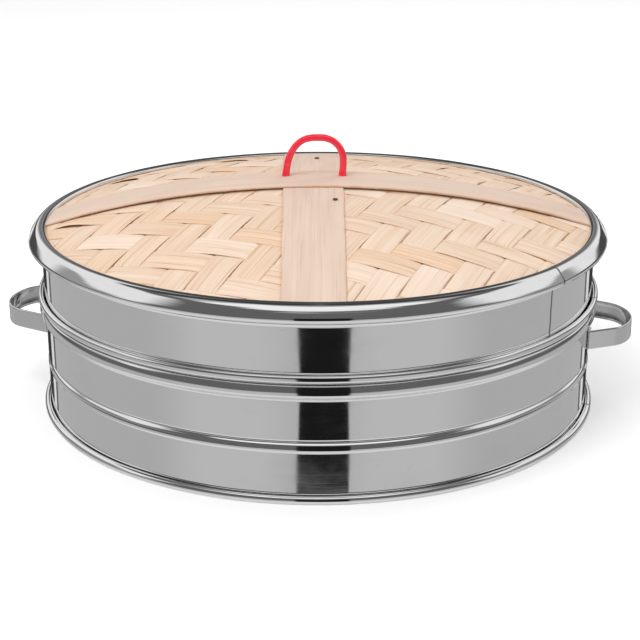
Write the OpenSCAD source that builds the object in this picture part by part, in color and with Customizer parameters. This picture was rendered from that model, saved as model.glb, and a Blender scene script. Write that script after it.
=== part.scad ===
// Steamer tier: a beaded sheet-steel basket with two strap handles and a slatted bamboo grate,
// under a lid made of a rolled steel hoop and a domed twill-woven bamboo panel.
// Origin: centre of the base, on the surface it stands on. +Z up, handles on the X axis.

/* [Steel sheet] */
// Thickness of the steel sheet in the basket wall and in the lid hoop
sheet_t = 0.8; // [0.5:0.1:1.2]
// Clearance between the lid's skirt and the basket's inside
lid_gap = 0.4; // [0.3:0.1:1]
// Least clearance between a rolled edge and the sheet beside it
roll_gap = 0.4; // [0.3:0.1:1]

/* [Basket wall] */
// Outside radius of the plain basket wall
basket_r = 200; // [140:1:260]
// Height where the wall starts to flare out into its shoulder
shoulder_z = 68.9; // [56:0.5:110]
// How far the shoulder stands out from the plain wall
shoulder_out = 4; // [3.6:0.1:6]
// Height that the shoulder's flare takes
flare_h = 6; // [5:0.5:12]
// Height of the straight band above the flare
shoulder_h = 4.7; // [3:0.1:12]
// Centre-line radius of the rolled bead along the base
base_bead_r = 2.3; // [1.8:0.1:3.5]
// How much the base bead is pressed flat where it stands
base_flat = 0.1; // [0.05:0.05:0.3]
// Centre-line radius of the rolled bead along the rim
rim_bead_r = 1.6; // [1.4:0.1:2.4]
// Straight length between the two bends of the rim bead
rim_bead_flat = 1.2; // [0.5:0.1:3]

/* [Ledge bead] */
// Height of the lower edge of the bead pressed around the wall
ledge_z = 33.5; // [25:0.5:36]
// Height of that bead
ledge_h = 9.5; // [8:0.5:12]
// Depth of the bead's inward groove, whose inside carries the grate
ledge_in = 1.6; // [1.2:0.1:3]
// How far the lower half of the bead bulges outward
ledge_out = 0.4; // [0.2:0.1:1.5]

/* [Handles] */
// How far the right handle reaches out from the wall
handle_reach = 31; // [26:0.5:50]
// How much further out the left handle is bent
left_stretch = 3.5; // [0:0.5:6]
// Distance from the wall's flare down to the handle strip
handle_drop = 4.9; // [2:0.1:12]
// Height of the handle strip
handle_h = 14; // [10:0.5:18]
// Thickness of the handle strip
handle_t = 1.2; // [1:0.1:2]
// Extra thickness of the hem folded along each edge of the strip
hem_t = 0.5; // [0.3:0.1:1]
// Height of each hem
hem_h = 1.8; // [1.2:0.1:3]
// Outside radius of the handle's bowed outer side
handle_bow_r = 40; // [34:1:60]
// Half the angle that the bowed side spans
handle_bow_a = 30; // [20:1:34]
// Outside radius of the handle's corners
handle_corner_r = 24; // [16:1:28]
// Angle between each leg of the handle and the line through both handles
handle_splay = 26; // [15:1:30]
// Length of each strip end where it lies on the wall and is welded
tab_len = 12; // [8:1:18]

/* [Grate] */
// Clearance between the grate's ends and the wall
grate_gap = 0.6; // [0.4:0.1:1.5]
// Clearance under the grate's beams
seat_gap = 0.1; // [0.05:0.05:0.6]
// Gap between two slats
slat_gap = 8; // [5:0.5:14]
// Distance from the outermost slats' outer edges to the grate's rim
slat_margin = 10; // [6:1:20]
// Number of slats
slat_count = 11; // [9:2:13]
// Thickness of a slat
slat_t = 3.5; // [2.5:0.5:5]
// Width of a beam
beam_w = 20; // [14:1:28]
// Height of a beam
beam_h = 8; // [6:0.5:10]
// Distance between neighbouring beams
beam_pitch = 115; // [90:1:120]
// Diameter of the nails that hold the slats on the beams
grate_nail_d = 2; // [1.4:0.1:2.4]

/* [Lid hoop] */
// How far the hoop's wall stands outside the radius of the plain basket wall
skirt_out = 0.4; // [0.1:0.1:1]
// Height of the lid hoop's wall above its seat, up to the flange's fillet
skirt_h = 45.7; // [34:0.5:70]
// Radius of the fillet between the hoop's wall and its flange
fillet_r = 5; // [4:0.5:7]
// Rise of the flange's underside, in degrees
flange_rise = 12; // [8:1:16]
// Length of the flange's flat underside
flange_w = 3.03; // [2:0.05:5]
// Radius of the flange's rolled outer edge
edge_r = 2.5; // [2:0.1:3.5]
// Angle of the outer edge's roll where the crown takes over
edge_turn = 35; // [28:1:42]
// Radius of the flange's convex crown
crown_r = 17.1; // [15:0.1:22]
// Angle that the crown turns through
crown_turn = 39.6; // [30:0.2:42]
// Radius of the bend at the inner lip
lip_r = 1.2; // [1:0.1:2]
// Length of the lip's short edge that points down at the panel
lip_drop = 0.9; // [0.5:0.1:1.5]

/* [Woven panel] */
// Rise of the woven dome above its edge
dome_rise = 27.8; // [18:0.2:44]
// Turn of the bamboo panel inside its hoop, in degrees
lid_turn = 5.4; // [-30:0.1:30]
// Thickness of one woven strip
strip_t = 0.7; // [0.5:0.05:1]
// Gap between the two layers of strips
layer_gap = 0.1; // [0.05:0.05:0.3]
// Gap between neighbouring strips
strip_gap = 0.5; // [0.3:0.1:1]
// Number of warp strips
warp_count = 19; // [15:2:19]
// Direction of the warp strips, in degrees from the over strap
warp_angle = 67; // [45:1:90]
// Number of weft strips
weft_count = 20; // [16:2:20]
// Thickness of the bamboo sheet that lines the weave
lining_t = 0.8; // [0.5:0.1:1.5]
// Gap between the lip's edge and the weave below it
lip_gap = 0.5; // [0.3:0.1:1]

/* [Straps and ribs] */
// Width of the over strap
over_w = 44; // [36:0.5:60]
// Width of the under strap
under_w = 47; // [36:0.5:60]
// Thickness of a strap
strap_t = 1.6; // [1:0.1:2.5]
// Sideways offset of the under strap from the panel's centre
strap_offset = -2.6; // [-8:0.1:8]
// Width of the two ribs inside the lid
rib_w = 30; // [24:1:44]
// Thickness of a rib
rib_t = 3; // [2:0.2:5]
// Height of the bamboo hoop inside the lid
inner_hoop_h = 22; // [14:1:30]
// Thickness of that hoop
inner_hoop_t = 4; // [3:0.5:6]
// Diameter of the nails through the under strap
strap_nail_d = 2; // [1.4:0.1:2.4]

/* [Loop handle] */
// Distance between the two legs of the loop
loop_span = 42.2; // [32:0.2:56]
// Height of the loop above the crossing of the straps, to the top of its centre line
loop_h = 28; // [22:1:44]
// Straight length at the top of the loop, between its two bends
loop_flat = 4.2; // [2:0.2:12]
// Distance of the loop behind the over strap's centre line
loop_back = 5; // [0:0.5:12]
// Diameter of the plastic sleeve
sleeve_d = 5.2; // [4:0.1:8]
// Diameter of the steel wire inside the sleeve
wire_d = 2.4; // [1.6:0.1:3]
// Clearance between the wire and what it passes through
wire_gap = 0.1; // [0.05:0.05:0.3]
// Length of each wire end that is bent flat under the ribs
wire_foot = 9; // [6:0.5:11]

/* [Hidden] */
$fn = 180;
eps = 0.05;
big = 900;

// Value rounded to a hundredth of a millimetre, so that the lengths of a bent rod meet exactly
function rounded(x) = round(100 * x) / 100;

// Points of an arc about (cx, cy), for use in a sheet's path
function arc(cx, cy, r, a0, a1, steps) =
    [for (i = [0 : steps]) let (a = a0 + (a1 - a0) * i / steps) [cx + r * cos(a), cy + r * sin(a)]];

// The path with points that repeat the one before left out
function distinct(path) =
    [for (i = [0 : len(path) - 1]) if (i == 0 || norm(path[i] - path[i - 1]) > eps / 10) path[i]];

// Unit normal on the right-hand side of the path at point i
function right_normal(path, i) =
    let (before = path[max(i - 1, 0)], after = path[min(i + 1, len(path) - 1)], d = after - before)
    [d.y, -d.x] / norm(d);

// Basket wall: heights and radii of its stations, on the sheet's centre line
base_bead_end_a = 475;
rim_bead_end_a = -120;
wall_c = basket_r - sheet_t / 2;
base_bead_c = [wall_c + base_bead_r, base_bead_r + sheet_t / 2 - base_flat];
shoulder_c = wall_c + shoulder_out;
flare_r = (pow(shoulder_out, 2) + pow(flare_h, 2)) / (4 * shoulder_out);
flare_a = 2 * atan(shoulder_out / flare_h);
shoulder_top_z = shoulder_z + flare_h + shoulder_h;
lid_r = basket_r + skirt_out;
neck_c = lid_r + lid_gap + sheet_t / 2;
neck_r = (shoulder_c - neck_c) / 2;
rim_lower_z = shoulder_top_z + 2 * neck_r + rim_bead_r + sheet_t / 2 + roll_gap;
rim_upper_z = rim_lower_z + rim_bead_flat;
rim_bead_c = neck_c + rim_bead_r;
steps_fine = 10;
ledge_steps = 20;

// Outward offset of the wall along its ledge bead: a bulge below and a groove above
function ledge_offset(u) =
    u < 0.5 ? ledge_out * pow(sin(360 * u), 2) : -ledge_in * pow(sin(360 * (u - 0.5)), 2);

wall_path = concat(
    arc(base_bead_c.x, base_bead_c.y, base_bead_r, base_bead_end_a, 180, 3 * steps_fine),
    [for (i = [0 : ledge_steps])
        [wall_c + ledge_offset(i / ledge_steps), ledge_z + ledge_h * i / ledge_steps]],
    arc(wall_c + flare_r, shoulder_z, flare_r, 180, 180 - flare_a, steps_fine),
    arc(shoulder_c - flare_r, shoulder_z + flare_h, flare_r, -flare_a, 0, steps_fine),
    arc(shoulder_c - neck_r, shoulder_top_z, neck_r, 0, 90, steps_fine),
    arc(neck_c + neck_r, shoulder_top_z + 2 * neck_r, neck_r, 270, 180, steps_fine),
    arc(rim_bead_c, rim_upper_z, rim_bead_r, 180, 0, 2 * steps_fine),
    arc(rim_bead_c, rim_lower_z, rim_bead_r, 0, rim_bead_end_a, steps_fine)
);

// Height of a ball of radius r above its centre, at a place (x, y) beside its axis
function drop_at(r, x, y) = sqrt(r * r - x * x - y * y);

// Handles: height of the strip's lower edge, and where the legs' outer faces end inside the wall
handle_z = shoulder_z - handle_drop - handle_h;
root_depth = 8;
handle_root_x = basket_r - root_depth;

// Grate: it rests on the ridge that the ledge bead's groove makes inside the wall. The grate's rim
// meets the ridge's upper flank where the groove is as deep as the gap beside the rim.
grate_r = basket_r - sheet_t - grate_gap;
flank_u = 0.5 + (180 - asin(sqrt(grate_gap / ledge_in))) / 360;
beam_z = ledge_z + ledge_h * flank_u + sheet_t / 2 + seat_gap;
slat_z = beam_z + beam_h;
slat_pitch = (2 * (grate_r - slat_margin) + slat_gap) / slat_count;
slat_w = slat_pitch - slat_gap;
beam_mid = 2;
beam_count = 3;

// Lid hoop, on the sheet's centre line: it rests inside the basket's flare
lid_c = lid_r - sheet_t / 2;
flare_in_r = flare_r + sheet_t / 2;
lid_seat_z = shoulder_z + sqrt(pow(flare_in_r, 2) - pow(wall_c + flare_r - lid_r, 2)) + lid_gap;
fillet_c = [lid_c + fillet_r, lid_seat_z + skirt_h];
flange_start = fillet_c + fillet_r * [cos(90 + flange_rise), sin(90 + flange_rise)];
flange_end = flange_start + flange_w * [cos(flange_rise), sin(flange_rise)];
edge_c = flange_end + edge_r * [cos(90 + flange_rise), sin(90 + flange_rise)];
crown_c = edge_c - (crown_r - edge_r) * [cos(edge_turn), sin(edge_turn)];
crown_end = edge_turn + crown_turn;
lip_c = crown_c + (crown_r - lip_r) * [cos(crown_end), sin(crown_end)];
lip_in_r = lip_c.x - lip_r - sheet_t / 2;
lip_low_z = lip_c.y - lip_drop;

hoop_path = concat(
    [[lid_c, lid_seat_z]],
    arc(fillet_c.x, fillet_c.y, fillet_r, 180, 90 + flange_rise, steps_fine),
    arc(edge_c.x, edge_c.y, edge_r, flange_rise - 90, edge_turn, 2 * steps_fine),
    arc(crown_c.x, crown_c.y, crown_r, edge_turn, crown_end, steps_fine),
    arc(lip_c.x, lip_c.y, lip_r, crown_end, 180, steps_fine),
    [[lip_c.x - lip_r, lip_low_z]]
);

// Dome: concentric spheres, from the weave's outer face inward
edge_z = lip_low_z - lip_gap;
dome_r = (pow(lip_in_r, 2) + pow(dome_rise, 2)) / (2 * dome_rise);
dome_zc = edge_z + dome_rise - dome_r;
weft_r = dome_r - strip_t - layer_gap;
lining_r = weft_r - strip_t - layer_gap;
rib_r = lining_r - lining_t;
panel_r = lid_c - sheet_t / 2;
inner_hoop_r = panel_r - inner_hoop_t;
strap_end_gap = 0.4;
strap_end_r = lip_in_r - strap_end_gap;

// Strips fill the panel: this share of each outermost strip is cut off by the panel's edge
warp_cut = 1 / 6;
weft_cut = 1 / 2;
warp_pitch = 2 * panel_r / (warp_count - 2 * warp_cut);
weft_pitch = 2 * panel_r / (weft_count - 2 * weft_cut);

// The over strap climbs over the under strap and comes down on the weave at its ends
over_rise = dome_rise + strap_t + layer_gap;
over_r = (pow(lip_in_r, 2) + pow(over_rise, 2)) / (2 * over_rise) + strap_t;
over_zc = edge_z + over_rise + strap_t - over_r;

// Loop handle
loop_bend_r = (loop_span - loop_flat) / 2;
leg_x = [strap_offset - loop_span / 2, strap_offset + loop_span / 2];
wire_r = wire_d / 2;
wire_hole_r = wire_r + wire_gap;
leg_far = loop_span / 2 + abs(strap_offset) + sleeve_d / 2;
leg_near = loop_span / 2 - abs(strap_offset) - sleeve_d / 2;
loop_top_z = rounded(over_zc + over_r + loop_h);
sleeve_foot_z = rounded(over_zc + drop_at(over_r, leg_near, loop_back) + wire_gap);
rib_low_r = rib_r - 2 * rib_t - layer_gap;
foot_z = rounded(dome_zc + drop_at(rib_low_r, leg_far, loop_back) - wire_r - wire_gap);
foot_bend_r = 2.5;

// Nails through the under strap: distance along it from the panel's centre
strap_nail_y = [-50, 88];
strap_nail_x = [12, -1];
nail_head_h = 0.6;
nail_head_r = 1.8;
nail_seat_h = 0.25;

WARPS = [for (i = [1 : warp_count]) str("warp_strip_", i)];
WEFTS = [for (i = [1 : weft_count]) str("weft_strip_", i)];

// Steel sheet of thickness sheet_t that follows a path of radius and height, all the way round
module spun_sheet(path) {
    line = distinct(path);
    count = len(line);
    half = sheet_t / 2;
    right_face = [for (i = [0 : count - 1]) line[i] + half * right_normal(line, i)];
    left_face = [for (i = [count - 1 : -1 : 0]) line[i] - half * right_normal(line, i)];
    rotate_extrude() polygon(concat(right_face, left_face));
}

module basket_wall() {
    color("silver") difference() {
        spun_sheet(wall_path);
        translate([0, 0, -big]) cylinder(r = big, h = big);
    }
}

// Outer outline of a handle on the +X side, from one leg's root around to the other's
function handle_path(reach) =
    let (
        bow_c = [basket_r + reach - handle_bow_r, 0],
        corner_c = bow_c + (handle_bow_r - handle_corner_r) * [cos(handle_bow_a), sin(handle_bow_a)],
        leg_a = 90 - handle_splay,
        leg_start = corner_c + handle_corner_r * [cos(leg_a), sin(leg_a)],
        leg_root = leg_start + (leg_start.x - handle_root_x) * [-1, tan(handle_splay)]
    )
    concat(
        [[leg_root.x, -leg_root.y]],
        arc(corner_c.x, -corner_c.y, handle_corner_r, -leg_a, -handle_bow_a, steps_fine),
        arc(bow_c.x, bow_c.y, handle_bow_r, -handle_bow_a, handle_bow_a, steps_fine),
        arc(corner_c.x, corner_c.y, handle_corner_r, handle_bow_a, leg_a, steps_fine),
        [leg_root]
    );

// Strip of a handle, with its ends turned in along the wall
module handle_strip(reach, thickness, height) {
    outer = distinct(handle_path(reach));
    count = len(outer);
    inner = [for (i = [count - 1 : -1 : 0]) outer[i] - thickness * right_normal(outer, i)];
    linear_extrude(height) {
        difference() {
            polygon(concat(outer, inner));
            circle(r = basket_r);
        }
        intersection() {
            difference() {
                circle(r = basket_r + thickness);
                circle(r = basket_r);
            }
            for (side = [0, 1]) mirror([0, side])
                translate([0, outer[count - 1].y - tab_len]) square([big, tab_len]);
        }
    }
}

module strap_handle(reach) {
    translate([0, 0, handle_z]) {
        handle_strip(reach, handle_t, handle_h);
        handle_strip(reach, handle_t + hem_t, hem_h);
        translate([0, 0, handle_h - hem_h]) handle_strip(reach, handle_t + hem_t, hem_h);
    }
}

module handle_left() {
    color("lightgray") mirror([1, 0, 0]) strap_handle(handle_reach + left_stretch);
}

module handle_right() {
    color("lightgray") strap_handle(handle_reach);
}

// Beam i of the grate, counted from the front
module grate_beam(i) {
    y = (i - beam_mid) * beam_pitch;
    color("burlywood") difference() {
        intersection() {
            translate([-big, y - beam_w / 2, beam_z]) cube([2 * big, beam_w, beam_h]);
            cylinder(r = grate_r, h = big);
        }
        grate_nail_set(grate_nail_d / 2);
    }
}

function slat_x(i) = (i - (slat_count + 1) / 2) * slat_pitch;

module grate_slats() {
    color("wheat") difference() {
        intersection() {
            cylinder(r = grate_r, h = big);
            for (i = [1 : slat_count])
                translate([slat_x(i) - slat_w / 2, -big, slat_z]) cube([slat_w, 2 * big, slat_t]);
        }
        grate_nail_set(grate_nail_d / 2);
    }
}

// One nail wherever a slat crosses a beam well inside the grate's edge
module grate_nail_set(r) {
    for (i = [1 : slat_count], j = [1 : beam_count]) {
        y = (j - beam_mid) * beam_pitch;
        if (norm([slat_x(i), y]) < grate_r - beam_w / 2)
            translate([slat_x(i), y, slat_z - beam_h / 2])
                cylinder(r = r, h = beam_h / 2 + slat_t, $fn = 24);
    }
}

module grate_nails() {
    color("dimgray") grate_nail_set(grate_nail_d / 2);
}

module lid_hoop() {
    color("silver") spun_sheet(hoop_path);
}

// Ball about the dome's centre
module dome_ball(r) {
    translate([0, 0, dome_zc]) sphere(r = r);
}

// Shell of the dome between two radii, out to a distance from the axis
module dome_shell(r_out, thickness, reach) {
    intersection() {
        difference() {
            dome_ball(r_out);
            dome_ball(r_out - thickness);
        }
        cylinder(r = reach, h = big);
    }
}

// The holes that the loop's legs and the strap nails make through the panel
module panel_holes() {
    for (x = leg_x) translate([x, loop_back, 0]) cylinder(r = wire_hole_r, h = big, $fn = 48);
    strap_nail_set(strap_nail_d / 2);
}

// Everything between two lines across the panel, at a distance from its centre
module band(angle, offset, width) {
    rotate([0, 0, angle]) translate([-big, offset - width / 2, 0]) cube([2 * big, width, big]);
}

module lid_inner_hoop() {
    top_z = edge_z - lining_t - 2 * strip_t - 2 * layer_gap;
    color("tan") intersection() {
        translate([0, 0, top_z - inner_hoop_h]) difference() {
            cylinder(r = panel_r, h = big);
            translate([0, 0, -eps]) cylinder(r = inner_hoop_r, h = big + 2 * eps);
        }
        dome_ball(rib_r);
    }
}

module lid_lining() {
    color("peru") rotate([0, 0, lid_turn]) difference() {
        dome_shell(lining_r, lining_t, panel_r);
        panel_holes();
    }
}

module warp_strip(i) {
    offset = (i - (warp_count + 1) / 2) * warp_pitch;
    color("bisque") rotate([0, 0, lid_turn]) difference() {
        intersection() {
            dome_shell(dome_r, strip_t, panel_r);
            band(warp_angle, offset, warp_pitch - strip_gap);
        }
        panel_holes();
    }
}

module weft_strip(i) {
    offset = (i - (weft_count + 1) / 2) * weft_pitch;
    color("moccasin") rotate([0, 0, lid_turn]) difference() {
        intersection() {
            dome_shell(weft_r, strip_t, panel_r);
            band(warp_angle - 90, offset, weft_pitch - strip_gap);
        }
        panel_holes();
    }
}

module strap_under() {
    color("antiquewhite") rotate([0, 0, lid_turn]) difference() {
        intersection() {
            dome_shell(dome_r + strap_t, strap_t, strap_end_r);
            band(90, -strap_offset, under_w);
        }
        panel_holes();
    }
}

module strap_over() {
    color("linen") rotate([0, 0, lid_turn]) difference() {
        intersection() {
            translate([0, 0, over_zc]) difference() {
                sphere(r = over_r);
                sphere(r = over_r - strap_t);
            }
            cylinder(r = strap_end_r, h = big);
            band(0, 0, over_w);
        }
        panel_holes();
    }
}

module rib_upper() {
    color("tan") rotate([0, 0, lid_turn]) difference() {
        intersection() {
            dome_shell(rib_r, rib_t, inner_hoop_r);
            band(90, -strap_offset, rib_w);
        }
        panel_holes();
    }
}

// The lower rib crosses under the upper one and is wide enough to carry both legs of the loop
module rib_lower() {
    color("tan") rotate([0, 0, lid_turn]) difference() {
        intersection() {
            dome_shell(rib_r - rib_t - layer_gap, rib_t, inner_hoop_r);
            band(0, 0, rib_w);
        }
        panel_holes();
    }
}

// A nail's shaft goes through the panel into the upper rib, and its head lies on the under strap
module strap_nail_set(r) {
    for (i = [0 : 1])
        translate([strap_nail_x[i], strap_nail_y[i], strap_nail_base(i)])
            cylinder(r = r, h = strap_nail_seat(i) + nail_head_h / 2 - strap_nail_base(i), $fn = 48);
}

function strap_nail_base(i) = dome_zc + drop_at(rib_r, strap_nail_x[i], strap_nail_y[i]) - rib_t / 2;
function strap_nail_seat(i) =
    dome_zc + drop_at(dome_r + strap_t, strap_nail_x[i], strap_nail_y[i]) + nail_seat_h;

module strap_nails() {
    color("dimgray") rotate([0, 0, lid_turn]) {
        strap_nail_set(strap_nail_d / 2);
        for (i = [0 : 1])
            translate([strap_nail_x[i], strap_nail_y[i], strap_nail_seat(i)])
                cylinder(r = nail_head_r, h = nail_head_h, $fn = 48);
    }
}

// Rod of radius r along the arch of the loop, from foot_z on one leg to the other
module loop_arch(r, low_z) {
    for (side = [-1, 1]) translate([side * loop_span / 2, 0, low_z])
        cylinder(r = r, h = rounded(loop_top_z - loop_bend_r) - low_z, $fn = 64);
    for (side = [0, 1]) mirror([side, 0, 0])
        translate([loop_span / 2 - loop_bend_r, 0, loop_top_z - loop_bend_r])
            rotate([90, 0, 0]) rotate_extrude(angle = 90) translate([loop_bend_r, 0]) circle(r = r, $fn = 64);
    translate([-loop_flat / 2, 0, loop_top_z])
        rotate([0, 90, 0]) cylinder(r = r, h = loop_flat, $fn = 64);
}

// The bent foot of one wire leg, turned toward the other leg
module wire_foot_bend(side) {
    mirror([side, 0, 0]) translate([loop_span / 2 - foot_bend_r, 0, foot_z + foot_bend_r]) {
        rotate([90, 0, 0]) rotate_extrude(angle = -90)
            translate([foot_bend_r, 0]) circle(r = wire_r, $fn = 64);
        translate([-wire_foot, 0, -foot_bend_r])
            rotate([0, 90, 0]) cylinder(r = wire_r, h = wire_foot, $fn = 64);
    }
}

module loop_wire() {
    color("gray") rotate([0, 0, lid_turn]) translate([strap_offset, loop_back, 0]) {
        loop_arch(wire_r, foot_z + foot_bend_r);
        for (side = [0, 1]) wire_foot_bend(side);
    }
}

module loop_sleeve() {
    color("crimson") rotate([0, 0, lid_turn]) translate([strap_offset, loop_back, 0]) difference() {
        loop_arch(sleeve_d / 2, sleeve_foot_z);
        loop_arch(wire_hole_r, sleeve_foot_z - eps);
    }
}

basket_wall();
handle_left();
handle_right();
for (i = [1 : beam_count]) grate_beam(i);
grate_slats();
grate_nails();
lid_hoop();
lid_inner_hoop();
lid_lining();
for (i = [1 : warp_count]) warp_strip(i);
for (i = [1 : weft_count]) weft_strip(i);
strap_under();
strap_over();
rib_upper();
rib_lower();
strap_nails();
loop_wire();
loop_sleeve();
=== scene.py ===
"""Looks of the steamer tier: lathed steel, a true twill weave of bamboo strips, straps, grate and loop."""
import math
import random

import bpy
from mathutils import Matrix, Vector, noise


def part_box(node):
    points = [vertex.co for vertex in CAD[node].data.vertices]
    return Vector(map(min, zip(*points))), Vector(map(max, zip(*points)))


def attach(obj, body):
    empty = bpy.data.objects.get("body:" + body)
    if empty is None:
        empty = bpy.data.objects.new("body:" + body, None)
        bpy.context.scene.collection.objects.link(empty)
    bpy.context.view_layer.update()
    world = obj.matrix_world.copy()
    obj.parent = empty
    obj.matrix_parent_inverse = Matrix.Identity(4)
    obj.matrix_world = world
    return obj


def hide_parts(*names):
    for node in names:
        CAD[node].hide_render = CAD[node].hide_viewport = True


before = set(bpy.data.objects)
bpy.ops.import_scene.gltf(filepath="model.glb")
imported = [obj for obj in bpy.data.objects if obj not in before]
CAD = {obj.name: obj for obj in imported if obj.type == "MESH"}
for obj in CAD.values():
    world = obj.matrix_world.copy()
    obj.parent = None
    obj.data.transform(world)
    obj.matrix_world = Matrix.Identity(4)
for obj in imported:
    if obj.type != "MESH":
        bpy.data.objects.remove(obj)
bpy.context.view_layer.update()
MM = 0.001

# The camera, and the turn it shares with the bamboo panel
VIEW_TURN = math.radians(5.4)
VIEW_PITCH = math.radians(19.46)
VIEW_FROM = Vector((0.1020, -1.0641, 0.4303))
LENS = 85.1

# Basket and lid, in metres
WALL_R = 0.2
LIP_R = 0.1971
PANEL_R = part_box("lid_lining")[1].x
LINING_T = 0.8 * MM
STRIP_T = 0.7 * MM
LAYER_GAP = 0.1 * MM
STRAP_T = 1.6 * MM

scene = bpy.context.scene


# ---------------------------------------------------------------- small helpers

def smooth(x, low, high):
    """0 at low, 1 at high, with soft ends."""
    t = min(1.0, max(0.0, (x - low) / (high - low)))
    return t * t * (3 - 2 * t)


def turned(x, y):
    """A place on the bamboo panel, turned about the upright axis to where the panel lies."""
    cos, sin = math.cos(VIEW_TURN), math.sin(VIEW_TURN)
    return x * cos - y * sin, x * sin + y * cos


def wander(seed, along, size):
    """Slow random offset along a length, from -1 to 1."""
    return noise.noise(Vector((along / size, seed * 7.31, seed * 1.7)))


def chance(*key):
    """A repeatable random number from -1 to 1 for this key."""
    return random.Random(repr(key)).uniform(-1, 1)


def cap_of(node, reach, thickness):
    """Outer radius and centre height of the sphere that a domed CAD sheet follows."""
    low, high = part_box(node)
    rise = high.z - thickness - low.z
    radius = (reach ** 2 + rise ** 2) / (2 * rise) + thickness
    return radius, high.z - radius


LINING_R, DOME_Z = cap_of("lid_lining", PANEL_R, LINING_T)
DOME_R = LINING_R + 2 * (STRIP_T + LAYER_GAP)
MIDDLE_R = DOME_R - STRIP_T - LAYER_GAP / 2
STRAP_REACH = LIP_R - 0.4 * MM
OVER_R, OVER_Z = cap_of("strap_over", STRAP_REACH, STRAP_T)


def sphere_z(x, y, radius, centre):
    """Height of a sphere above x, y, for a centre at that height on the upright axis."""
    return centre + math.sqrt(radius ** 2 - x * x - y * y)


def ring_faces(rows, ring, closed=False):
    """Quads between rows of ring points each, with an end cap on both ends of an open skin."""
    faces = []
    for r in range(rows if closed else rows - 1):
        here, there = r * ring, (r + 1) % rows * ring
        for i in range(ring):
            j = (i + 1) % ring
            faces.append((here + i, here + j, there + j, there + i))
    if not closed:
        faces.append(tuple(range(ring - 1, -1, -1)))
        faces.append(tuple(range((rows - 1) * ring, rows * ring)))
    return faces


def piece(name, points, faces, material, body, replaces, uvs=None, tones=None, sharp=40):
    """Makes a smooth-shaded mesh piece, ties it to its CAD body and hides the CAD nodes it replaces."""
    mesh = bpy.data.meshes.new(name)
    mesh.from_pydata(points, [], faces)
    for layer, values in (uvs or {}).items():
        flat = [c for loop in mesh.loops for c in values[loop.vertex_index]]
        mesh.uv_layers.new(name=layer).data.foreach_set("uv", flat)
    if tones:
        mesh.attributes.new("tone", "FLOAT", "POINT").data.foreach_set("value", tones)
    mesh.shade_smooth()
    mesh.set_sharp_from_angle(angle=math.radians(sharp))
    mesh.materials.append(material)
    made = bpy.data.objects.new(name, mesh)
    scene.collection.objects.link(made)
    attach(made, body)
    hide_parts(*replaces)
    return made


# ---------------------------------------------------------------- materials

def node(tree, kind, inputs=None, **settings):
    """Adds a shader node. An input takes a value, or a socket to be linked from."""
    made = tree.nodes.new("ShaderNode" + kind)
    for key, value in settings.items():
        setattr(made, key, value)
    for key, value in (inputs or {}).items():
        if isinstance(value, bpy.types.NodeSocket):
            tree.links.new(value, made.inputs[key])
        else:
            made.inputs[key].default_value = value
    return made


def sums(tree, operation, a, b=0.0):
    """One step of arithmetic on sockets or numbers."""
    made = tree.nodes.new("ShaderNodeMath")
    made.operation = operation
    for socket, value in zip(made.inputs, (a, b)):
        if isinstance(value, bpy.types.NodeSocket):
            tree.links.new(value, socket)
        else:
            socket.default_value = value
    return made.outputs[0]


def ramp(tree, value, low, high, to_low=0.0, to_high=1.0):
    """Takes a value from one range to another, with soft ends."""
    return node(tree, "MapRange", {"Value": value, "From Min": low, "From Max": high,
                                   "To Min": to_low, "To Max": to_high},
                interpolation_type="SMOOTHSTEP").outputs[0]


def mix(tree, factor, a, b, blend="MIX"):
    """Blends two colours. The node's colour sockets are its inputs 6 and 7."""
    made = tree.nodes.new("ShaderNodeMix")
    made.data_type, made.blend_type = "RGBA", blend
    for key, value in ((0, factor), (6, a), (7, b)):
        if isinstance(value, bpy.types.NodeSocket):
            tree.links.new(value, made.inputs[key])
        elif key:
            made.inputs[key].default_value = (*value, 1)
        else:
            made.inputs[key].default_value = value
    return made.outputs[2]


def stretched(tree, vector, scale, detail=3.0, roughness=0.55):
    """Noise stretched by a scale for each axis."""
    placed = node(tree, "Mapping", {"Vector": vector, "Scale": scale})
    return node(tree, "TexNoise", {"Vector": placed.outputs[0], "Scale": 1.0, "Detail": detail,
                                   "Roughness": roughness}).outputs[0]


def new_material(name):
    """A material that holds one linked shader, with its node tree and that shader."""
    made = bpy.data.materials.new(name)
    made.use_nodes = True
    tree = made.node_tree
    tree.nodes.clear()
    shader = node(tree, "BsdfPrincipled")
    out = node(tree, "OutputMaterial")
    tree.links.new(shader.outputs[0], out.inputs[0])
    return made, tree, shader


def link_bump(tree, shader, height, distance):
    """Fine relief that is too small for the mesh."""
    bump = node(tree, "Bump", {"Height": height, "Distance": distance, "Strength": 1.0})
    tree.links.new(bump.outputs[0], shader.inputs["Normal"])


# Brown painted shade for the shadow lines along the edges and sides of strips and straps
EDGE_SHADE_BROWN = (0.62, 0.3, 0.11)


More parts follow.
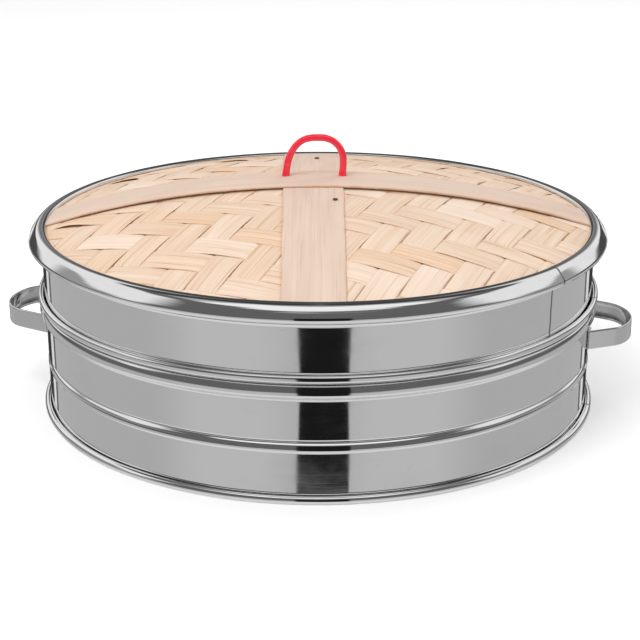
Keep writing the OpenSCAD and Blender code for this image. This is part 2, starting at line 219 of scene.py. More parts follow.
def bamboo(name, pale, deep, fibre, grain_axis=None, edge=0.0, fine=900.0, contrast=1.0):
    """Split bamboo: streaks along the grain, fine dark fibres, a tone per strip, and brown painted shade
    along the edges, where strips meet and their shadows fall.

    The grain runs along the first coordinate of the UV map, or along an object axis."""
    made, tree, shader = new_material(name)
    if grain_axis is None:
        vector = node(tree, "UVMap", uv_map="grain").outputs[0]
    else:
        vector = node(tree, "TexCoord").outputs["Object"]
        turn = (0, 0, -math.pi / 2 if grain_axis == "y" else 0)
        vector = node(tree, "Mapping", {"Vector": vector, "Rotation": turn}).outputs[0]
    fine_streak = stretched(tree, vector, (22.0, fine, fine), 4.0, 0.6)
    wide_streak = stretched(tree, vector, (7.0, fine / 4.5, fine / 4.5), 3.0, 0.5)
    blotch = stretched(tree, vector, (14.0, 45.0, 45.0), 2.0, 0.5)
    threads = stretched(tree, vector, (12.0, fine * 0.55, fine * 0.55), 2.0, 0.35)
    streaks = sums(tree, "ADD", sums(tree, "MULTIPLY", fine_streak, 0.45),
                   sums(tree, "MULTIPLY", wide_streak, 0.55))
    body = mix(tree, ramp(tree, streaks, 0.5 - 0.2 / contrast, 0.5 + 0.2 / contrast), deep, pale)
    body = mix(tree, ramp(tree, blotch, 0.35, 0.75, 0.0, 0.45), body, [c * 0.93 for c in deep])
    body = mix(tree, ramp(tree, threads, 0.58, 0.7, 0.0, 0.55 * contrast), body, fibre)
    if grain_axis is None:
        tone = node(tree, "Attribute", attribute_name="tone").outputs["Fac"]
        body = mix(tree, ramp(tree, tone, 0.0, 1.0, 0.0, 0.32), body, fibre, "SOFT_LIGHT")
        body = mix(tree, ramp(tree, tone, 0.0, -1.0, 0.0, 0.22), body, (1.0, 0.97, 0.92))
    # Painted shade: the edges and sides of each strip turn brown, broken up by noise, to stand for the
    # shadow in the gaps between strips
    if edge:
        span = node(tree, "SeparateXYZ", {0: node(tree, "UVMap", uv_map="span").outputs[0]}).outputs[0]
        away = sums(tree, "ABSOLUTE", sums(tree, "SUBTRACT", span, 0.5))
        broken = ramp(tree, stretched(tree, vector, (70.0, 40.0, 40.0), 2.0), 0.42, 0.62, 0.25, 1.0)
        rim = sums(tree, "MULTIPLY", ramp(tree, away, 0.462, 0.5, 0.0, edge), broken)
        body = mix(tree, rim, body, EDGE_SHADE_BROWN)
    tree.links.new(body, shader.inputs["Base Color"])
    tree.links.new(ramp(tree, fine_streak, 0.3, 0.7, 0.47, 0.67), shader.inputs["Roughness"])
    shader.inputs["Specular IOR Level"].default_value = 0.35
    relief = sums(tree, "ADD", fine_streak, sums(tree, "MULTIPLY", threads, -0.6))
    link_bump(tree, shader, relief, 0.12 * MM)
    return made


def steel(name, tint=(0.8, 0.8, 0.805), rough=0.045, seam=None, brushed=1.0):
    """Polished sheet: circumferential polishing lines, smudges, hairline scratches and a dark seam."""
    made, tree, shader = new_material(name)
    place = node(tree, "TexCoord").outputs["Object"]
    split = node(tree, "SeparateXYZ", {0: place}).outputs
    angle = sums(tree, "ARCTAN2", split[1], split[0])
    radius = sums(tree, "SQRT", sums(tree, "ADD", sums(tree, "MULTIPLY", split[0], split[0]),
                                     sums(tree, "MULTIPLY", split[1], split[1])))
    polar = node(tree, "CombineXYZ", {0: angle, 1: radius, 2: split[2]}).outputs[0]
    lines = stretched(tree, polar, (5.0, 2600.0, 2600.0), 4.0, 0.65)
    smudge = stretched(tree, place, (16.0, 16.0, 26.0), 5.0, 0.6)
    hair = stretched(tree, polar, (40.0, 420.0, 900.0), 2.0, 0.4)
    dirt = ramp(tree, smudge, 0.5, 0.72)
    colour = mix(tree, sums(tree, "MULTIPLY", dirt, 0.2), tint, [c * 0.82 for c in tint])
    colour = mix(tree, ramp(tree, hair, 0.7, 0.76, 0.0, 0.35), colour, [c * 0.7 for c in tint])
    gloss = sums(tree, "ADD", ramp(tree, lines, 0.3, 0.7, rough * 0.8, rough * 1.4),
                 sums(tree, "MULTIPLY", dirt, 0.05))
    if seam is not None:
        waver = sums(tree, "SUBTRACT", stretched(tree, place, (9.0, 9.0, 45.0)), 0.5)
        crooked = sums(tree, "MULTIPLY", waver, 0.025)
        apart = sums(tree, "SUBTRACT", angle, sums(tree, "ADD", seam, crooked))
        off = sums(tree, "MULTIPLY", sums(tree, "ABSOLUTE", apart), radius)
        line = ramp(tree, off, 0.7 * MM, 1.3 * MM, 1.0, 0.0)
        colour = mix(tree, sums(tree, "MULTIPLY", line, 0.8), colour, (0.09, 0.09, 0.09))
        gloss = sums(tree, "ADD", gloss, sums(tree, "MULTIPLY", line, 0.35))
    tree.links.new(colour, shader.inputs["Base Color"])
    tree.links.new(gloss, shader.inputs["Roughness"])
    shader.inputs["Metallic"].default_value = 1.0
    link_bump(tree, shader, lines, 0.0025 * MM * brushed)
    return made


def red_plastic():
    """Glossy PVC sleeve with faint extrusion lines and a little wear."""
    made, tree, shader = new_material("red_sleeve_look")
    vector = node(tree, "UVMap", uv_map="grain").outputs[0]
    lines = stretched(tree, vector, (30.0, 1400.0, 1.0), 3.0)
    rub = ramp(tree, stretched(tree, vector, (160.0, 160.0, 1.0), 4.0), 0.58, 0.72)
    colour = mix(tree, sums(tree, "MULTIPLY", rub, 0.35), (0.82, 0.02, 0.05), (0.88, 0.1, 0.12))
    tree.links.new(colour, shader.inputs["Base Color"])
    tree.links.new(ramp(tree, lines, 0.3, 0.7, 0.12, 0.24), shader.inputs["Roughness"])
    shader.inputs["Subsurface Weight"].default_value = 0.06
    shader.inputs["Subsurface Radius"].default_value = (0.004, 0.001, 0.001)
    shader.inputs["Coat Weight"].default_value = 0.6
    shader.inputs["Coat Roughness"].default_value = 0.08
    link_bump(tree, shader, lines, 0.03 * MM)
    return made


LID_SEAM = math.radians(-34.6)
WALL_SEAM = math.radians(-9.0)

lid_steel = steel("lid_steel", seam=LID_SEAM)
wall_steel = steel("wall_steel", seam=WALL_SEAM)
handle_steel = steel("handle_steel_look", tint=(0.72, 0.72, 0.725), rough=0.13, brushed=3.0)
nail_steel = steel("nail_steel_look", tint=(0.2, 0.17, 0.15), rough=0.4)
# edge sets how strong the painted shade along the strip edges is
woven_look = bamboo("woven_look", (0.79, 0.625, 0.5), (0.68, 0.49, 0.35), (0.52, 0.3, 0.14),
                    edge=0.65, fine=1250.0, contrast=1.1)
strap_look = bamboo("strap_look", (0.735, 0.58, 0.48), (0.63, 0.47, 0.37), (0.46, 0.3, 0.21),
                    edge=0.5, fine=1700.0, contrast=0.65)
FRAME_TONES = ((0.62, 0.45, 0.28), (0.48, 0.31, 0.17), (0.3, 0.17, 0.08))
frame_look = bamboo("frame_look", *FRAME_TONES, grain_axis="x")
cross_look = bamboo("cross_look", *FRAME_TONES, grain_axis="y")
# The lining is bamboo, but its colour is made darker than the rest as painted shade for the shadow that
# shows through the slits of the weave
shaded_lining_look = bamboo("shaded_lining_look", (0.5, 0.3, 0.16), (0.36, 0.2, 0.1), (0.2, 0.1, 0.045), grain_axis="x")
slat_look = bamboo("slat_look", (0.74, 0.56, 0.36), (0.6, 0.41, 0.23), (0.4, 0.23, 0.11), grain_axis="y")
beam_look = bamboo("beam_look", (0.68, 0.5, 0.31), (0.54, 0.36, 0.2), (0.35, 0.2, 0.1), grain_axis="x")
red_look = red_plastic()


# ---------------------------------------------------------------- steel sheet, spun from the CAD outline

def held(line, fine_above):
    """The outline with a point just inside both ends of every long straight, so that flats shade flat.

    Above the given height it is cut finely instead."""
    full = []
    for (ar, az), (br, bz) in zip(line, line[1:] + line[:1]):
        full.append((ar, az))
        length = math.hypot(br - ar, bz - az)
        if az > fine_above:
            cuts = math.ceil(length / (0.4 * MM))
            full += [(ar + (br - ar) * i / cuts, az + (bz - az) * i / cuts) for i in range(1, cuts)]
        elif length > 1.2 * MM:
            share = 0.2 * MM / length
            full.append((ar + (br - ar) * share, az + (bz - az) * share))
            full.append((br - (br - ar) * share, bz - (bz - az) * share))
    return full


def outline(name, fine_above):
    """Closed outline of a spun CAD node: the (radius, height) points of its mesh on the +X half plane."""
    mesh = CAD[name].data
    key = {v.index: (round(v.co.x, 6), round(v.co.z, 6)) for v in mesh.vertices
           if abs(v.co.y) < 1e-6 and v.co.x > 0}
    joined = {}
    for edge in mesh.edges:
        a, b = (key.get(i) for i in edge.vertices)
        if a and b and a != b:
            joined.setdefault(a, set()).add(b)
            joined.setdefault(b, set()).add(a)
    start = min(joined)
    line, last = [start], None
    here = start
    while True:
        following = [p for p in sorted(joined[here]) if p != last and (p not in line or p == start)]
        if not following or (following[0] == start and len(line) > 2):
            return held(line, fine_above)
        last, here = here, following[0]
        line.append(here)


# The lid's flange is pressed into a low rounded ring: from what height, its radius, width and rise
FLANGE_Z, CROWN_R, CROWN_W, CROWN_RISE = 0.124, 0.2036, 0.0034, 0.0016
# The basket's shoulder leans in toward the rim: its two heights, outer face and lean
SHOULDER_Z, RIM_Z, SHOULDER_R, SHOULDER_LEAN = 0.0742, 0.0811, WALL_R + 2.2 * MM, 0.0014
# Rolled sheet wavers in broad waves with finer ones over them, and laps over itself at its seam
BROAD_WAVE, FINE_WAVE, FINE_SHARE = 14.0, 38.0, 0.6
LAP = 0.16 * MM
SEAM_COLUMNS = (-0.1, -0.02, 0.02, 0.1)


def pressed_flange(r, z):
    """An outline point of the lid's hoop, raised where the ring is pressed."""
    if z <= FLANGE_Z:
        return r, z
    return r, z + CROWN_RISE * math.exp(-((r - CROWN_R) / CROWN_W) ** 2)


def leaning_shoulder(r, z):
    """An outline point of the basket's wall, moved in on the outer face of the shoulder."""
    if r <= SHOULDER_R or not SHOULDER_Z < z < RIM_Z:
        return r, z
    return r - SHOULDER_LEAN * ((z - SHOULDER_Z) / (RIM_Z - SHOULDER_Z)) ** 2, z


def spun(name, material, seam, ripple):
    """The CAD outline spun finely, with the faint unevenness of rolled sheet and a lapped seam."""
    is_lid = name == "lid_hoop"
    if is_lid:
        line = [pressed_flange(r, z) for r, z in outline(name, FLANGE_Z)]
    else:
        line = [leaning_shoulder(r, z) for r, z in outline(name, SHOULDER_Z)]
    columns = [math.radians(i) for i in range(360)]
    columns += [(seam + math.radians(d)) % math.tau for d in SEAM_COLUMNS]
    columns.sort()
    points = []
    for angle in columns:
        behind = (seam - angle) % math.tau
        lap = LAP * smooth(behind, math.radians(14), math.radians(0.5)) if behind < 1 else 0.0
        for r, z in line:
            spot = Vector((r * math.cos(angle), r * math.sin(angle), z))
            wave = noise.noise(spot * BROAD_WAVE) + FINE_SHARE * noise.noise(spot * FINE_WAVE) - 1.0
            reach = r + min(0.0, ripple * wave + lap)
            points.append((reach * math.cos(angle), reach * math.sin(angle), z))
    return piece(name + "_spun", points, ring_faces(len(columns), len(line), closed=True), material,
                 "lid" if is_lid else "basket", [name], sharp=35)


# ---------------------------------------------------------------- handles

def heading(degrees):
    """Unit vector at an angle from the +X direction, seen from above."""
    return Vector((math.cos(math.radians(degrees)), math.sin(math.radians(degrees))))


def handle_plan(reach):
    """Outer face of a handle seen from above, from one tab on the wall around to the other."""
    bow_r, bow_half, corner_r, splay = 40 * MM, 30, 24 * MM, 26
    wall_r, tab, bend = WALL_R + 0.1 * MM, 11 * MM, 2.6 * MM
    bow = Vector((reach - bow_r, 0))
    corner = bow + (bow_r - corner_r) * heading(bow_half)
    leg = heading(180 - splay)
    start = corner + corner_r * heading(90 - splay)
    ahead = start.dot(leg)
    root = start + leg * (-ahead - math.sqrt(ahead ** 2 - start.length_squared + wall_r ** 2))
    angle = math.degrees(math.atan2(root.y, root.x))
    back = math.degrees(tab / wall_r)
    near = math.degrees(bend / wall_r)
    half = [wall_r * heading(angle - back + (back - near) * i / 6) for i in range(7)]
    first, last = half[-1], root - leg * bend
    for i in range(1, 7):
        t = i / 6
        half.append(first * (1 - t) ** 2 + root * 2 * t * (1 - t) + last * t * t)
    half += [corner + corner_r * heading(90 - splay - (90 - splay - bow_half) * i / 12) for i in range(13)]
    half += [bow + bow_r * heading(bow_half * (1 - i / 8)) for i in range(1, 8)]
    return half + [Vector((reach, 0))] + [Vector((h.x, -h.y)) for h in reversed(half)]


def strap_handle(name, side):
    """Bowed strip with hems rolled inward along both edges, its ends welded flat on the wall."""
    low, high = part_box(name)
    height = high.z - low.z
    plan = handle_plan(max(abs(low.x), abs(high.x)))
    hem_r, web_t, face, hem_end = 0.85 * MM, 1.1 * MM, 1.4 * MM, 1.9 * MM
    section = [(0.0, face)]
    section += [(hem_r * (1 + math.cos(math.radians(a))), hem_r * (1 + math.sin(math.radians(a))))
                for a in range(180, 421, 20)]
    section += [(web_t, hem_end)]
    section += [(depth, height - up) for depth, up in reversed(section)]
    points, grain = [], []
    length = 0.0
    for i, here in enumerate(plan):
        step = plan[min(i + 1, len(plan) - 1)] - plan[max(i - 1, 0)]
        length += step.length / 2
        inward = Vector((step.y, -step.x)).normalized()
        for depth, up in section:
            spot = here + inward * depth
            points.append((side * spot.x, spot.y, low.z + up))
            grain.append((length, up))
    faces = ring_faces(len(plan), len(section))
    if side < 0:
        faces = [tuple(reversed(f)) for f in faces]
    return piece(name + "_strip", points, faces, handle_steel, "basket", [name],
                 {"grain": grain}, sharp=50)


# ---------------------------------------------------------------- woven panel

WARP_COUNT, WEFT_COUNT = 19, 20
WARP_PITCH = 2 * PANEL_R / (WARP_COUNT - 1 / 3)
WEFT_PITCH = 2 * PANEL_R / (WEFT_COUNT - 1)
WEAVE_TURN = math.radians(67)
WEAVE_R = PANEL_R - 0.3 * MM
LIFT = 0.42 * MM
STEP = 3.4 * MM
UNDER_STRAP = (-25 * MM, 18.3 * MM)
OVER_HALF = 21 * MM
# Places where a strip stands up and shows a dark slit: x, y and height, in millimetres
SLITS = ((-150, 78, 2.0), (-176, -38, 1.4), (168, 62, 1.3), (-60, 120, 1.0), (112, 96, 1.2), (60, 143, 1.1))


def warp_border(i, t):
    """Line between warps i-1 and i, at a place t along them."""
    return (WARP_PITCH * (i - 0.5) + 1.1 * MM * chance("warp", i) + 0.006 * chance("tilt", i) * t
            + 0.5 * MM * wander(i + 50, t, 0.06))


def weft_border(k, s):
    """Line between wefts k-1 and k, at a place s along them."""
    return (WEFT_PITCH * k + 1.1 * MM * chance("weft", k) + 0.006 * chance("slope", k) * s
            + 0.5 * MM * wander(k + 90, s, 0.06))


def warp_on_top(i, k):
    """The twill: each strip passes over two and under two, one further on in each row."""
    return (k - i) % 4 in (0, 3)


def panel_xy(s, t):
    """Panel place of weave coordinates: s across the warps, t along them."""
    return (s * math.sin(WEAVE_TURN) + t * math.cos(WEAVE_TURN),
            -s * math.cos(WEAVE_TURN) + t * math.sin(WEAVE_TURN))


def looseness(x, y):
    """1 where the weave is free to bulge, 0 under a strap and at the rim."""
    middle = (UNDER_STRAP[0] + UNDER_STRAP[1]) / 2
    half = (UNDER_STRAP[1] - UNDER_STRAP[0]) / 2
    beside_under = smooth(abs(x - middle) - half, 0.0, 9 * MM)
    beside_over = smooth(abs(y) - OVER_HALF, 0.0, 9 * MM)
    return beside_under * beside_over * smooth(math.hypot(x, y), LIP_R, LIP_R - 14 * MM)


def strip_height(family, index, s, t, across):
    """Height of a strip's middle above the weave's middle surface."""
    is_warp = family == "warp"
    along, beside = (t, s) if is_warp else (s, t)
    border = weft_border if is_warp else warp_border
    pitch = WEFT_PITCH if is_warp else WARP_PITCH

    def up(c):
        """1 where this strip is on top, -1 where it is below."""
        on_top = warp_on_top(index, c) if is_warp else not warp_on_top(c, index)
        return 1 if on_top else -1

    cell = math.floor(along / pitch + (0.0 if is_warp else 0.5))
    while border(cell, beside) > along:
        cell -= 1
    while border(cell + 1, beside) <= along:
        cell += 1
    low, high = border(cell, beside), border(cell + 1, beside)
    here, before, after = up(cell), up(cell - 1), up(cell + 1)
    blend_low = 0.5 * (1 - math.sin(math.pi / 2 * min(1, (along - low) / STEP)))
    blend_high = 0.5 * (1 - math.sin(math.pi / 2 * min(1, (high - along) / STEP)))
    height = LIFT * (here + (before - here) * blend_low + (after - here) * blend_high)
    start = border(cell - 1, beside) if before == here else low
    stop = border(cell + 2, beside) if after == here else high
    arch = math.sin(math.pi * (along - start) / (stop - start))
    x, y = panel_xy(s, t)
    loose = looseness(x, y)
    run = cell - 1 if before == here else cell
    if here > 0:
        roll = 0.28 * MM * chance(family, index, run, "roll")
        height += loose * arch * (0.3 * MM * (1 + 0.6 * chance(family, index, run)) + roll * across)
        for sx, sy, rise in SLITS:
            near = math.exp(-((x - sx * MM) ** 2 + (y - sy * MM) ** 2) / (2 * (11 * MM) ** 2))
            if near > 0.05 and family == "weft":
                height += rise * MM * near * smooth(-across, -0.2, 1.0) * loose
    else:
        height -= loose * arch * 0.12 * MM
    return height


ACROSS_TOP = (-0.97, -0.8, -0.4, 0.0, 0.4, 0.8, 0.97)
ACROSS_LOW = (0.97, 0.3, -0.3, -0.97)


def woven_strip(family, number):
    """One strip of the weave, split unevenly, that rises and dips as the twill asks."""
    is_warp = family == "warp"
    index = WARP_COUNT // 2 + 1 - number if is_warp else number - WEFT_COUNT // 2 - 1
    border = warp_border if is_warp else weft_border
    gap = (0.2 + 0.15 * chance(family, index, "gap")) * MM
    seed = number + (0 if is_warp else 40)
    ring = [(c, 0.5 - 0.09 * (abs(c) > 0.9)) for c in ACROSS_TOP] + [(1.0, 0.0)]
    ring += [(c, -0.5 + 0.09 * (abs(c) > 0.9)) for c in ACROSS_LOW] + [(-1.0, 0.0)]
    centre = (border(index, 0) + border(index + 1, 0)) / 2
    reach = math.sqrt(max(0.0, WEAVE_R ** 2 - max(0.0, abs(centre) - 6 * MM) ** 2))
    rows = max(8, round(2 * reach / (1.9 * MM)))
    strip_tone = chance(family, index, "tone")
    points, grain, span, tones = [], [], [], []
    for r in range(rows + 1):
        share = -1 + 2 * r / rows
        for c, up in ring:
            guess = share * reach
            left, right = border(index, guess) + gap, border(index + 1, guess) - gap
            fray = 0.22 * MM * wander(seed * 2 + (c > 0), guess, 0.009)
            beside = (left + right) / 2 + c * ((right - left) / 2 + fray * abs(c))
            beside = max(-WEAVE_R, min(WEAVE_R, beside))
            along = share * math.sqrt(max(0.0, WEAVE_R ** 2 - beside ** 2))
            s, t = (beside, along) if is_warp else (along, beside)
            height = strip_height(family, index, s, t, c)
            crown = 0.1 * MM * (1 - c * c)
            x, y = panel_xy(s, t)
            z = sphere_z(x, y, MIDDLE_R + height + up * STRIP_T + crown, DOME_Z)
            points.append((*turned(x, y), z))
            grain.append((along + seed * 0.713, beside + seed * 0.371))
            span.append(((c + 1) / 2, along))
            cell = math.floor(along / WEFT_PITCH / 2)
            tones.append(0.75 * strip_tone + 0.25 * chance(family, index, cell, "cell"))
    faces = [tuple(reversed(f)) for f in ring_faces(rows + 1, len(ring))]
    name = f"{family}_strip_{number}"
    return piece(name + "_woven", points, faces, woven_look, "lid", [name],
                 {"grain": grain, "span": span}, tones, sharp=60)


# ---------------------------------------------------------------- straps

def strap(name, rows, place, width_at, seed, replaces):
    """A bamboo strap: place(along, across, up) gives a point, width_at(along) its two edges."""
    ring = [(-0.985, 0.93), (-0.94, 1.0), (-0.5, 1.0), (0.0, 1.0), (0.5, 1.0), (0.94, 1.0), (0.985, 0.93)]
    ring += [(1.0, 0.75), (1.0, 0.2), (0.985, 0.0), (0.0, 0.0), (-0.985, 0.0), (-1.0, 0.2), (-1.0, 0.75)]
    points, grain, span, tones = [], [], [], []
    for r in range(rows + 1):
        share = -1 + 2 * r / rows
        for c, up in ring:
            low, high = width_at(share)
            fray = 0.25 * MM * wander(seed + (c > 0), share, 0.05)
            across = (low + high) / 2 + c * ((high - low) / 2 + fray * abs(c))
            along = share * math.sqrt(STRAP_REACH ** 2 - across ** 2)
            points.append(place(along, across, up))
            grain.append((along + seed, across + seed * 0.3))
            span.append(((c + 1) / 2, along))
            tones.append(0.3 * wander(seed + 5, along, 0.08))
    faces = ring_faces(rows + 1, len(ring))
    return piece(name, points, faces, strap_look, "lid", replaces,
                 {"grain": grain, "span": span}, tones, sharp=50)


def under_place(along, across, up):
    """The under strap lies on the weave from front to back."""
    x, y = across, along
    z = sphere_z(x, y, DOME_R + up * STRAP_T, DOME_Z)
    return (*turned(x, y), z)


# In millimetres: each edge at the middle, how far it is out at the back end and how far in at the front
UNDER_LEFT, LEFT_BACK, LEFT_FRONT = -25.3, 3.2, 2.8
UNDER_RIGHT, RIGHT_BACK, RIGHT_FRONT = 18.3, 0.3, 0.5
# The over strap's front and back edges at the middle, and how far each is out at both ends
OVER_FRONT, OVER_BACK, FRONT_FLARE, BACK_FLARE = -21.5, 21.5, 0.8, 0.6


def under_width(share):
    """It tapers from back to front."""
    left = UNDER_LEFT - (LEFT_BACK if share > 0 else LEFT_FRONT) * share
    right = UNDER_RIGHT + (RIGHT_BACK if share > 0 else RIGHT_FRONT) * share
    return left * MM, right * MM


def over_place(along, across, up):
    """The over strap springs over the under strap, and its front edge stands off the weave."""
    x, y = along, across
    front = smooth(-across / OVER_HALF, 0.0, 1.0)
    sideways = smooth(abs(x), 40 * MM, 120 * MM)
    stand = 0.6 * MM * front * sideways * smooth(abs(x), STRAP_REACH, STRAP_REACH - 30 * MM)
    z = sphere_z(x, y, OVER_R - STRAP_T + up * STRAP_T, OVER_Z) + stand
    return (*turned(x, y), z)


def over_width(share):
    """It flares a little toward both ends."""
    front = OVER_FRONT - FRONT_FLARE * abs(share)
    back = OVER_BACK + BACK_FLARE * abs(share)
    return front * MM, back * MM


# ---------------------------------------------------------------- loop handle

LOOP_Y = 7 * MM
WIRE_R = 1.2 * MM
# Inside the lid: the wire's bend, the reach of its foot, and how far below the arch its leg starts
FOOT_BEND, FOOT_LENGTH, WIRE_BELOW = 2 * MM, 9 * MM, 3 * MM
# Bent by hand, flat on top and wider on the left. Across from the panel's centre, up from the strap
LOOP_BEND = ((-23.5, 0), (-22.2, 8.4), (-20.2, 15.3), (-16.6, 21.5), (-11.7, 25.8), (-6.2, 27.7),
             (0.5, 28.1), (5.9, 27.6), (11.4, 25.2), (15.6, 20.8), (17.9, 15.2), (18.3, 8.4), (17.8, 0))


def rounded_line(points, steps=6):
    """Catmull-Rom curve through the points."""
    line = []
    ends = [2 * points[0] - points[1], *points, 2 * points[-1] - points[-2]]
    for a, b, c, d in zip(ends, ends[1:], ends[2:], ends[3:]):
        for i in range(steps):
            t = i / steps
            line.append(0.5 * (2 * b + (c - a) * t + (2 * a - 5 * b + 4 * c - d) * t ** 2
                               + (3 * b - a - 3 * c + d) * t ** 3))
    line.append(points[-1])
    return line


def tube(name, line, radius_at, material, replaces, sides=24):
    """Round rod along a line in the plane across the loop."""
    points, grain = [], []
    length = 0.0
    for i, here in enumerate(line):
        ahead = (line[min(i + 1, len(line) - 1)] - line[max(i - 1, 0)]).normalized()
        out = Vector((ahead.z, 0, -ahead.x))
        length += (here - line[max(i - 1, 0)]).length
        radius = radius_at(i / (len(line) - 1))
        for j in range(sides):
            a = math.tau * j / sides
            spot = here + out * radius * math.cos(a) + Vector((0, radius * math.sin(a), 0))
            points.append((*turned(spot.x, spot.y), spot.z))
            grain.append((length, radius * math.sin(a) + 0.4 * radius * math.cos(a)))
    return piece(name, points, ring_faces(len(line), sides), material, "lid", replaces,
                 {"grain": grain}, sharp=50)


def loop_handle():
    """The red sleeve on its arch, and the wire that goes on through the lid to two bent feet."""
    foot = sphere_z(20 * MM, LOOP_Y, OVER_R, OVER_Z)
    arch = rounded_line([Vector((x * MM, LOOP_Y, foot + h * MM)) for x, h in LOOP_BEND])

    def sleeve_radius(share):
        """It swells a little at both ends."""
        end = min(share, 1 - share)
        return (2.5 + 0.35 * smooth(end, 0.04, 0.0) + 0.12 * smooth(end, 0.3, 0.1)) * MM

    tube("loop_sleeve_bent", arch, sleeve_radius, red_look, ["loop_sleeve"])
    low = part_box("loop_wire")[0].z + WIRE_R

    def leg(x, inward):
        """One end of the wire, from the tip of its foot up to the arch."""
        places = ((x + inward * FOOT_LENGTH, low), (x + inward * FOOT_BEND, low),
                  (x, low + FOOT_BEND), (x, foot - WIRE_BELOW))
        return [Vector((across, LOOP_Y, height)) for across, height in places]

    wire = leg(arch[0].x, 1) + arch + leg(arch[-1].x, -1)[::-1]
    tube("loop_wire_bent", wire, lambda share: WIRE_R, nail_steel, ["loop_wire"], 12)


# ---------------------------------------------------------------- pieces kept from the CAD model

def dress(names, material, bevel=0.0):
    """Gives CAD nodes their material, and breaks their sharp edges."""
    for name in names:
        body = CAD[name]
        body.data.materials.clear()
        body.data.materials.append(material)
        if bevel:
            cut = body.modifiers.new("broken_edges", "BEVEL")
            cut.width, cut.segments, cut.limit_method = bevel, 2, "ANGLE"
            cut.angle_limit = math.radians(50)


# ---------------------------------------------------------------- studio

def make_camera():
    """The camera of the main view."""
    camera = bpy.data.objects.new("camera", bpy.data.cameras.new("camera"))
    scene.collection.objects.link(camera)
    camera.data.lens = LENS
    camera.data.clip_end = 60
    camera.location = VIEW_FROM
    camera.rotation_euler = (math.pi / 2 - VIEW_PITCH, 0, VIEW_TURN)
    scene.camera = camera


def band(tree, value, low, high, soft):
    """1 between low and high, 0 outside, with soft ends."""
    return sums(tree, "MULTIPLY", ramp(tree, value, low - soft, low + soft),
                ramp(tree, value, high - soft, high + soft, 1.0, 0.0))


def make_world():
    """A plain studio: even white light for matt surfaces, and panels for the polish to reflect."""
    world = bpy.data.worlds.new("studio")
    scene.world = world
    world.use_nodes = True
    tree = world.node_tree
    tree.nodes.clear()
    toward = node(tree, "Mapping", {"Vector": node(tree, "TexCoord").outputs["Generated"],
                                    "Rotation": (0, 0, -VIEW_TURN)})
    x, y, z = node(tree, "SeparateXYZ", {0: toward.outputs[0]}).outputs
    up = sums(tree, "MULTIPLY", sums(tree, "ARCSINE", z), math.degrees(1))
    ahead = sums(tree, "MULTIPLY", y, -1.0)
    around = sums(tree, "MULTIPLY", sums(tree, "ARCTAN2", x, ahead), math.degrees(1))
    away = sums(tree, "ABSOLUTE", around)
    # Each row lays a panel over what is there: brightness, then how far around and how far up it reaches
    light = ramp(tree, up, -42.0, -30.0, 0.98, 0.6)
    panels = (
        (0.60, away, 0, 180, 1, -31, -9, 2),
        (0.72, away, 12, 60, 14, -29, -11, 4),
        (0.17, away, 0, 180, 1, -9, 54, 2),
        (1.30, away, 0, 66, 6, 54, 77, 1.2),
        (0.42, away, 0, 90, 1, 77, 88, 1.5),
        (0.06, away, 95, 185, 10, 52, 90, 5),
        (0.09, away, 112, 185, 10, -6, 52, 3),
        (1.15, around, 70, 165, 8, 6, 46, 2),
        (1.15, around, -165, -70, 8, 6, 46, 2),
        (0.45, around, 84, 120, 5, 6, 24, 2),
        (0.45, around, -120, -84, 5, 6, 24, 2),
        (1.05, away, 150, 190, 6, -11, -6, 1),
        (0.05, away, 152, 190, 0.6, -34, -11, 1),
        (0.95, away, 147, 152, 0.5, -34, -11, 1),
        (0.10, away, 144.5, 147, 0.4, -34, -11, 1),
        (0.014, around, -8.5, 12.5, 0.2, -27, 30, 1),
    )
    for bright, axis, left, right, soft, low, high, blur in panels:
        if left or axis is around:
            sideways = band(tree, axis, left, right, soft)
        else:
            sideways = ramp(tree, axis, right - soft, right + soft, 1.0, 0.0)
        mask = sums(tree, "MULTIPLY", sideways, band(tree, up, low, high, blur))
        light = sums(tree, "ADD", sums(tree, "MULTIPLY", light, sums(tree, "SUBTRACT", 1.0, mask)),
                     sums(tree, "MULTIPLY", mask, bright))
    mirror = node(tree, "Background", {"Strength": light})
    path = node(tree, "LightPath")
    even = sums(tree, "ADD", sums(tree, "MULTIPLY", path.outputs["Is Camera Ray"], 0.2), 0.82)
    plain = node(tree, "Background", {"Strength": even})
    plain.inputs["Color"].default_value = (1.0, 1.0, 1.0, 1.0)
    glossy = path.outputs["Is Glossy Ray"]
    choose = node(tree, "MixShader", {0: glossy, 1: plain.outputs[0], 2: mirror.outputs[0]})
    out = node(tree, "OutputWorld")
    tree.links.new(choose.outputs[0], out.inputs[0])


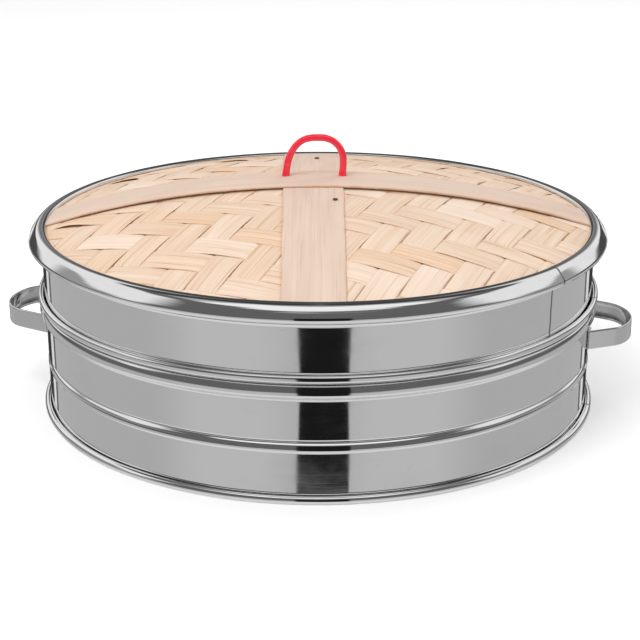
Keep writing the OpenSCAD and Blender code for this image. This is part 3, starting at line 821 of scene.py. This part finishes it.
def area_light(name, place, size, power):
    """A soft light aimed at the middle of the object, which the polish doesn't reflect."""
    data = bpy.data.lights.new(name, "AREA")
    data.energy, data.size = power, size
    made = bpy.data.objects.new(name, data)
    scene.collection.objects.link(made)
    made.location = place
    made.rotation_euler = (Vector((0, 0, 0.08)) - Vector(place)).to_track_quat("-Z", "Y").to_euler()
    made.visible_glossy = False


def make_floor():
    """A white floor with a faint glow of its own."""
    half = 8.0
    corners = [(-half, -half, 0), (half, -half, 0), (half, half, 0), (-half, half, 0)]
    mesh = bpy.data.meshes.new("floor")
    mesh.from_pydata(corners, [], [(0, 1, 2, 3)])
    made, tree, shader = new_material("floor_look")
    shader.inputs["Base Color"].default_value = (0.97, 0.97, 0.97, 1)
    shader.inputs["Emission Color"].default_value = (1, 1, 1, 1)
    shader.inputs["Emission Strength"].default_value = 0.1
    shader.inputs["Roughness"].default_value = 0.9
    mesh.materials.append(made)
    floor = bpy.data.objects.new("floor", mesh)
    scene.collection.objects.link(floor)
    floor.visible_glossy = False


# ---------------------------------------------------------------- build

make_camera()
make_world()
area_light("key", (-0.7, -0.9, 1.7), 1.1, 17)
area_light("back", (0.9, 1.1, 1.5), 1.0, 8)
make_floor()
scene.view_settings.view_transform = "Standard"

spun("lid_hoop", lid_steel, LID_SEAM, 0.42 * MM)
spun("basket_wall", wall_steel, WALL_SEAM, 0.2 * MM)
strap_handle("handle_right", 1)
strap_handle("handle_left", -1)
for number in range(1, WARP_COUNT + 1):
    woven_strip("warp", number)
for number in range(1, WEFT_COUNT + 1):
    woven_strip("weft", number)
strap("strap_under_split", 150, under_place, under_width, 3, ["strap_under"])
strap("strap_over_sprung", 180, over_place, over_width, 8, ["strap_over"])
loop_handle()
dress(["lid_lining"], shaded_lining_look)
dress(["rib_lower", "lid_inner_hoop"], frame_look)
dress(["rib_upper"], cross_look)
dress(["grate_slats"], slat_look, 0.5 * MM)
dress(["grate_beam_1", "grate_beam_2", "grate_beam_3"], beam_look, 0.5 * MM)
dress(["grate_nails", "strap_nails"], nail_steel)
